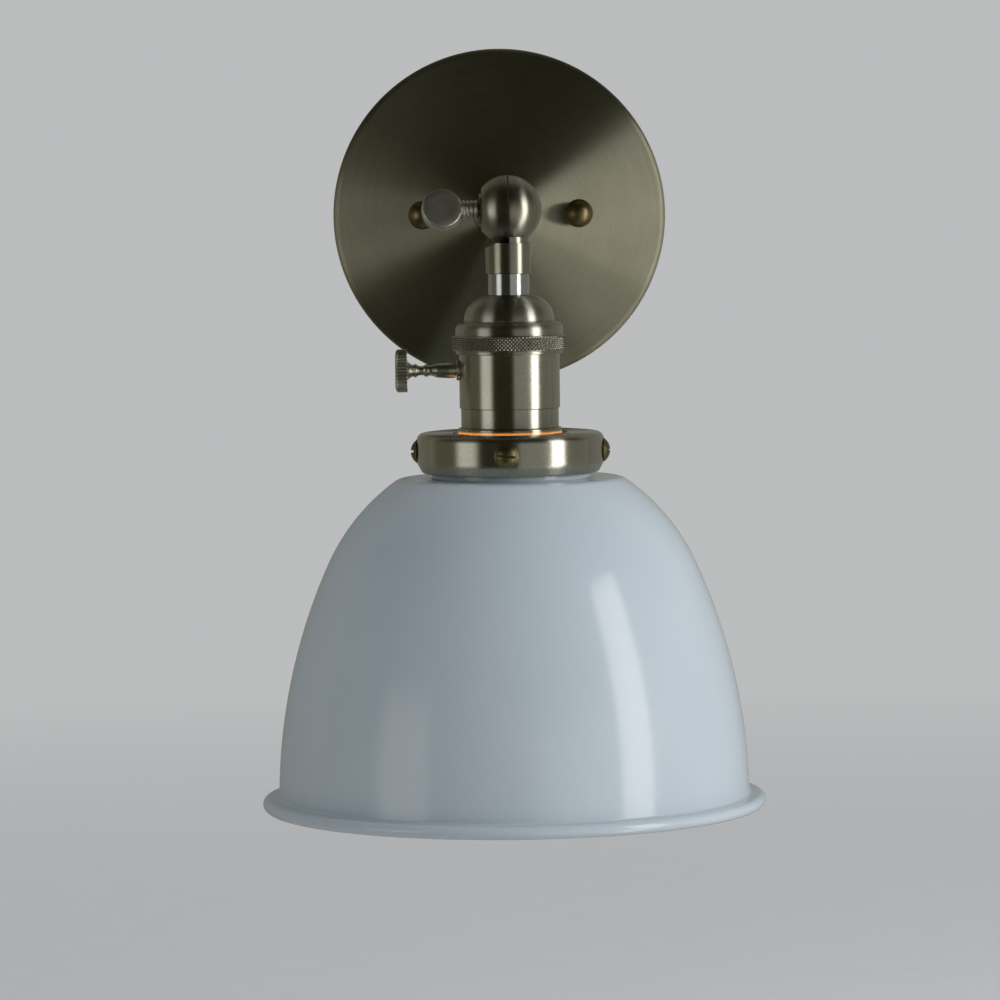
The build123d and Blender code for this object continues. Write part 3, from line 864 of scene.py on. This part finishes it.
def knurled(r, z, a):
    """Diamond knurl on the cap's band."""
    low, high = -cap_lip, -cap_band
    if r < cap_band_radius - 0.3 or not low + knurl_margin < z < high - knurl_margin:
        return r, z
    edge = smoothed(knurl_margin, knurl_full, z - low) * smoothed(knurl_margin, knurl_full, high - z)
    helix = z / (TURN * cap_band_radius)
    turns = a / TURN
    peak = min(wave(knurl_count * (turns + helix)), wave(knurl_count * (turns - helix)))
    return r - knurl_depth * edge * (1 - min(1.0, peak / knurl_flank)), z


def socket_cap():
    """Domed cap with a shoulder, a knurled band and a lip, open below."""
    nipple_bore = nipple_radius + slip
    band_bore = shell_radius + slip
    dome_inner = cap_dome_radius - cap_wall
    section = [
        (nipple_bore, -cap_top, 0.2),
        (cap_dome_radius, -cap_top, cap_dome_round),
        (cap_dome_radius, -cap_shoulder, 0.3),
        (cap_shoulder_radius, -cap_shoulder, cap_shoulder_round),
        (cap_shoulder_radius, -cap_band, 0.25),
        (cap_band_radius, -cap_band, 0.4),
        (cap_band_radius, -cap_lip, 0.4),
        (cap_lip_radius, -cap_lip, 0.2),
        (cap_lip_radius, -cap_end, 0.3),
        (band_bore, -cap_end, 0.15),
        (band_bore, -cap_shoulder - cap_wall),
        (dome_inner, -cap_shoulder - cap_wall),
        (dome_inner, -cap_top - cap_wall, cap_dome_inner_round),
        (nipple_bore + cap_hub_wall, -cap_top - cap_wall),
        (nipple_bore + cap_hub_wall, -cap_top - cap_hub_height),
        (nipple_bore, -cap_top - cap_hub_height),
    ]

    def on_band(one, two):
        return min(one[0], two[0]) > cap_band_radius - 0.1 and abs(one[1] - two[1]) > 1

    path = dense(rounded(section, True), 0.1, on_band)
    return lathe("socket_cap_turned", path, segments=knurl_count * 8, relief=knurled)


def socket_skirt():
    """Lower shell, stepped inside the upper one, with the sleeve that carries the shade holder."""
    bore = sleeve_radius - sleeve_wall
    section = [
        (bore, -sleeve_end, 0.2),
        (sleeve_radius, -sleeve_end, 0.3),
        (sleeve_radius, -skirt_end, 0.1),
        (skirt_radius, -skirt_end, 0.3),
        (skirt_radius, -shell_end + hair, 0.1),
        (liner_radius, -shell_end + hair, 0.1),
        (liner_radius, -core_step),
        (bore, -core_step),
    ]
    return lathe("socket_skirt_turned", rounded(section, True), segments=192)


stem = tube("stem_tube_turned", tube_radius, tube_radius - tube_wall, -cap_top, -collar_end)
put(stem, HEAD, "lamp_head", "tube_brass", "stem_tube")

put(socket_cap(), HEAD, "lamp_head", "cap_brass", "socket_cap")

shell = tube("socket_shell_turned", shell_radius, shell_radius - shell_wall, -shell_end, -shell_top, 0.3)
put(shell, HEAD, "lamp_head", "shell_brass", "socket_shell")

put(socket_skirt(), HEAD, "lamp_head", "shell_brass", "socket_skirt")


# ---------------------------------------------------------------- shade holder


def shade_holder():
    """Cup with its foot drawn in, on a hub, with three spokes across the gap between them."""
    inner = holder_radius - holder_wall
    floor = -holder_top - holder_wall
    foot = -holder_end + holder_wall
    cup_section = [
        (holder_slot_radius, -holder_top, 0.3),
        (holder_radius, -holder_top, 2.4),
        (holder_radius, -holder_end + holder_foot_height, 3.2),
        (holder_radius - holder_foot_in, -holder_end, 1.4),
        (holder_mouth_radius, -holder_end, 0.3),
        (holder_mouth_radius, foot, 0.3),
        (inner - holder_foot_inner_in, foot, 0.9),
        (inner, -holder_end + holder_foot_inner_height, 2.4),
        (inner, floor, 0.8),
        (holder_slot_radius, floor, 0.3),
    ]
    hub_section = [
        (holder_hub_radius, floor, 0.2),
        (holder_hub_radius, -skirt_end, 0.4),
        (sleeve_radius + slip, -skirt_end, 0.15),
        (sleeve_radius + slip, floor, 0.2),
    ]
    parts = [
        lathe("holder_cup", rounded(cup_section, True), segments=256),
        lathe("holder_hub", rounded(hub_section, True), segments=192),
    ]
    sunk = 0.6
    spoke = (holder_slot_radius - holder_hub_radius + 2 * sunk, holder_spoke_width, holder_wall)
    middle = (holder_hub_radius + holder_slot_radius) / 2
    for number in range(holder_spokes):
        place = spin(90 + number * 360 / holder_spokes, "Z") @ shift(x=middle, z=floor + holder_wall / 2)
        parts.append(block("holder_spoke", spoke, place, 0.2))
    return joined("shade_holder_turned", parts)


def cut_slot(head, top):
    """Cuts a slot across the top of a screw's head."""
    size = (holder_screw_slot, screw_slot_length, screw_slot_depth * 2)
    cutter = block("cutter", size, shift(z=top), bevel=0.02)
    cut = head.modifiers.new("slot", "BOOLEAN")
    cut.operation = "DIFFERENCE"
    cut.solver = "EXACT"
    cut.object = cutter
    bpy.context.view_layer.update()
    data = bpy.data.meshes.new_from_object(head.evaluated_get(bpy.context.evaluated_depsgraph_get()))
    head.modifiers.clear()
    head.data = data
    data.set_sharp_from_angle(angle=math.radians(35))
    bpy.data.objects.remove(cutter)


def holder_screw(number):
    """Domed head with a slot across it, on its shank."""
    radius = holder_screw_head_radius
    top = holder_radius + holder_screw_head_height
    dome = (radius**2 + holder_screw_head_height**2) / (2 * holder_screw_head_height)
    centre = top - dome
    edge = 0.25
    path = [(0.0, top)]
    steps = 20
    for i in range(1, steps + 1):
        r = (radius - edge) * i / steps
        path.append((r, centre + math.sqrt(dome**2 - r**2)))
    side = [
        path[-1],
        (radius, holder_radius + edge, 0.2),
        (radius, holder_radius, 0.1),
        (holder_screw_radius, holder_radius),
    ]
    shank_end = shade_neck_radius + slip
    path += rounded(side, False)[1:] + [(holder_screw_radius, shank_end), (0.0, shank_end)]
    head = lathe("screw_head", path, closed=False, segments=96)
    cut_slot(head, top)
    head.matrix_world = (
        spin(holder_turn + number * 360 / screw_count, "Z")
        @ shift(z=-holder_top - holder_screw_drop)
        @ spin(90, "Y")
        @ spin(screw_slot_turns[number], "Z")
    )
    return head


put(shade_holder(), HEAD, "lamp_head", "holder_brass", "shade_holder")

screws = joined("holder_screws_slotted", [holder_screw(i) for i in range(screw_count)])
put(screws, HEAD, "lamp_head", "aged_bronze", "holder_screws")


# ---------------------------------------------------------------- shade


def bell(level, thinner):
    """Half section of the shade's wall in three arcs, from its flat top to its flange."""
    points = [(shade_top_radius, level)]
    way = Vector((1, 0))
    for radius, angle, steps in (
        (shade_shoulder_round, shade_shoulder_angle, 14),
        (shade_crown_round, shade_crown_angle, 26),
        (shade_skirt_round, shade_skirt_angle, 40),
    ):
        more, way = arc(points[-1], way, radius - thinner, -angle, steps)
        points += more
    return points


def rolled_rim(r, z):
    """Rim curled round under a flange that ends at this place."""
    steps = 32
    points = []
    for i in range(steps + 1):
        a = math.radians(90 - shade_curl * i / steps)
        points.append(
            (
                r + shade_bead_radius * (0.5 + math.cos(a)),
                z + shade_bead_radius * (math.sin(a) - 1),
            )
        )
    return points


def shade():
    """Spun bell with a lipped neck, a flange and a rolled rim."""
    top = -shade_top
    under_top = top - shade_wall
    neck_top = top + shade_neck_height
    neck_inner = shade_neck_radius - shade_wall
    lip = shade_neck_radius + shade_neck_lip
    fillet = 0.6
    outside = bell(top, 0.0)
    inside = bell(under_top, shade_wall)
    neck = [
        (neck_inner, under_top + 1.0),
        (neck_inner, neck_top, 0.3),
        (lip, neck_top, 0.35),
        (lip, neck_top - shade_wall, 0.35),
        (shade_neck_radius, neck_top - shade_wall, 0.3),
        (shade_neck_radius, top, 0.8),
        (shade_top_radius - shade_flat, top, 0),
        outside[0],
    ]
    rim_r, rim_z = outside[-1]
    edge = rim_r + shade_flange
    flange = rounded([outside[-2], (rim_r, rim_z, 1.0), (edge, rim_z)], False)[1:-1]
    under = [(rim_r - shade_wall + fillet, rim_z - shade_wall)]
    back = inside[:0:-1] + [
        (shade_top_radius - shade_flat, under_top),
        (neck_inner + fillet, under_top),
        (neck_inner, under_top + fillet),
    ]
    path = rounded(neck, False)[1:-1] + outside[:-1] + flange + rolled_rim(edge, rim_z) + under + back
    return lathe("shade_spun", path, segments=320)


put(shade(), HEAD, "lamp_head", "shade_enamel", "shade")


# ---------------------------------------------------------------- stage, in metres

floor_radius = 6.0
floor_level = -0.36
walls_radius = 3.2
walls_middle = (0, -0.1, -0.1)
lamp_aim = Vector((0, -0.09, -0.1))
camera_place = (-0.0574, -1.887, -0.038)


def stage_floor():
    """Pale floor that fades into the backdrop and is clear from below, for views of the underside."""
    mesh = bmesh.new()
    bmesh.ops.create_circle(mesh, cap_ends=True, cap_tris=False, segments=96, radius=floor_radius)
    floor = finished("stage_floor", mesh)
    if floor.data.polygons[0].normal.z < 0:
        floor.data.flip_normals()
    floor.location = (0, 0, floor_level)
    floor.visible_glossy = False
    n = Nodes("stage_floor")
    place = n.place()
    distance = n.add("VectorMath", {"operation": "LENGTH"})
    n.feed(distance.inputs[0], place)
    far = n.ramp(distance.outputs["Value"], 0.5, 2.4)
    below = n.add("NewGeometry").outputs["Backfacing"]
    color = n.mix(n.noise(place, 40.0, 3.0), rgb(0.84, 0.845, 0.85), rgb(0.80, 0.805, 0.81))
    paint = n.add("BsdfDiffuse", Color=color)
    clear = n.add("BsdfTransparent")
    fade = n.add("MixShader")
    mixed = (n.math("MAXIMUM", far, below), paint.outputs[0], clear.outputs[0])
    for socket, value in zip(fade.inputs, mixed):
        n.feed(socket, value)
    floor.data.materials.append(n.made_of(fade))


def backdrop():
    """Even light from all round, which the camera sees a little brighter."""
    world = bpy.data.worlds.new("studio")
    bpy.context.scene.world = world
    world.use_nodes = True
    tree = world.node_tree
    seen = tree.nodes.new("ShaderNodeLightPath")
    paper = tree.nodes.new("ShaderNodeMix")
    paper.data_type = "RGBA"
    paper.inputs[6].default_value = rgb(0.42, 0.43, 0.44)
    paper.inputs[7].default_value = rgb(0.50, 0.505, 0.51)
    tree.links.new(seen.outputs["Is Camera Ray"], paper.inputs[0])
    tree.links.new(paper.outputs[2], tree.nodes["Background"].inputs["Color"])
    tree.nodes["Background"].inputs["Strength"].default_value = 1.0


# Cards and cloths round the lamp, in degrees of azimuth, which is 0 in front and positive to the right, and
# of elevation: left, right, the blur of these two edges, low, high, their blur, and the light's strength
wall_patches = (
    (-71.0, -44.0, 4.0, -18.0, -5.0, 4.0, 1.35),    # left card, its low part
    (-71.0, -44.0, 4.0, -5.0, 14.0, 4.0, 1.05),     # left card, its middle
    (-71.0, -44.0, 4.0, 14.0, 29.0, 4.0, 0.18),     # left card, its top
    (8.0, 47.0, 2.0, -35.0, 10.0, 4.0, 0.38),       # front cloth, right of the camera
    (8.0, 47.0, 4.0, -95.0, -35.0, 4.0, 0.06),      # the same cloth on the floor
    (49.0, 110.0, 2.0, -60.0, 18.0, 8.0, 0.2),      # right cloth
    (110.0, 190.0, 8.0, -95.0, 95.0, 1.0, 0.2),     # behind the wall, right
    (-120.0, -73.0, 2.0, -60.0, 26.0, 8.0, 0.1),    # left cloth
    (-190.0, -115.0, 8.0, -95.0, 95.0, 1.0, 0.15),  # behind the wall, left
    (50.0, 68.0, 2.0, -52.0, -18.0, 3.0, 2.4),      # card below the key lamp
)


def studio_walls():
    """Painted sphere that only reflections see, like the cloths and cards of a studio."""
    mesh = bmesh.new()
    bmesh.ops.create_uvsphere(mesh, u_segments=96, v_segments=48, radius=walls_radius)
    piece = finished("stage_walls", mesh)
    piece.location = walls_middle
    n = Nodes("stage_walls")
    place = n.place()
    x, y, z = n.add("SeparateXYZ", Vector=place).outputs
    elevation = n.math("DEGREES", n.math("ARCTAN2", z, n.hypotenuse(x, y)))
    azimuth = n.math("DEGREES", n.math("ARCTAN2", x, n.math("MULTIPLY", y, -1.0)))

    def window(value, low, high, blur):
        rise = n.ramp(value, low - blur, low + blur)
        return n.math("MULTIPLY", rise, n.ramp(value, high - blur, high + blur, 1.0, 0.0))

    cloth = n.ramp(n.noise(place, 3.0), 0.3, 0.7, 0.032, 0.042)
    total = n.math("MULTIPLY", cloth, n.ramp(n.math("ABSOLUTE", elevation), 12.0, 30.0, 1.0, 0.45))
    for left, right, side_blur, low, high, level_blur, strength in wall_patches:
        across = window(azimuth, left, right, side_blur)
        patch = n.math("MULTIPLY", across, window(elevation, low, high, level_blur))
        total = n.math("ADD", total, n.math("MULTIPLY", patch, strength))
    color = n.mix(n.ramp(total, 0.04, 0.3), rgb(1.0, 0.98, 0.6), rgb(1.0, 1.0, 0.98))
    piece.data.materials.append(n.made_of(n.add("Emission", Color=color, Strength=total)))
    piece.visible_camera = False
    piece.visible_diffuse = False
    piece.visible_shadow = False
    piece.visible_transmission = False


def softbox(name, azimuth, elevation, distance, width, height, power, in_metal=True):
    """Rectangular lamp that looks at the object, with its azimuth as for the patches."""
    light = bpy.data.lights.new(name, "AREA")
    light.shape = "RECTANGLE"
    light.size = width
    light.size_y = height
    light.energy = power
    lamp = in_scene(name, light)
    a, e = math.radians(azimuth), math.radians(elevation)
    towards = Vector((math.sin(a) * math.cos(e), -math.cos(a) * math.cos(e), math.sin(e)))
    lamp.location = lamp_aim + towards * distance
    lamp.rotation_mode = "QUATERNION"
    lamp.rotation_quaternion = towards.to_track_quat("Z", "Y")
    lamp.visible_camera = False
    lamp.visible_glossy = in_metal


def bulb_light():
    """Light of the bulb, which falls down out of the shade and moves with the lamp head."""
    light = bpy.data.lights.new("bulb_light", "SPOT")
    light.energy = 0.6
    light.color = (1.0, 0.46, 0.16)
    light.shadow_soft_size = 0.012
    light.spot_size = math.radians(150)
    light.spot_blend = 0.6
    lamp = in_scene("bulb_light", light)
    lamp.matrix_world = HEAD @ shift(z=-globe_drop)
    lamp.visible_camera = False
    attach(lamp, "lamp_head")


def view():
    """Camera, with its place and turn worked out from the photograph's perspective."""
    data = bpy.data.cameras.new("camera")
    data.lens = 180.0
    data.sensor_width = 36.0
    data.clip_start = 0.05
    data.clip_end = 50
    camera = in_scene("camera", data)
    camera.location = camera_place
    yaw, pitch, roll = math.radians(-1.708), math.radians(-2.107), math.radians(-0.75)
    upright = math.radians(90)
    camera.rotation_mode = "QUATERNION"
    camera.rotation_quaternion = (
        Matrix.Rotation(yaw, 3, "Z")
        @ Matrix.Rotation(upright + pitch, 3, "X")
        @ Matrix.Rotation(roll, 3, "Z")
    ).to_quaternion()
    bpy.context.scene.camera = camera


stage_floor()
backdrop()
studio_walls()
softbox("key_right", azimuth=59, elevation=8, distance=1.25, width=0.39, height=1.17, power=5.4)
softbox(
    "fill_right", azimuth=73, elevation=14, distance=1.5, width=0.9, height=0.9, power=8.4, in_metal=False
)
bulb_light()
view()
bpy.context.scene.view_settings.view_transform = "Standard"
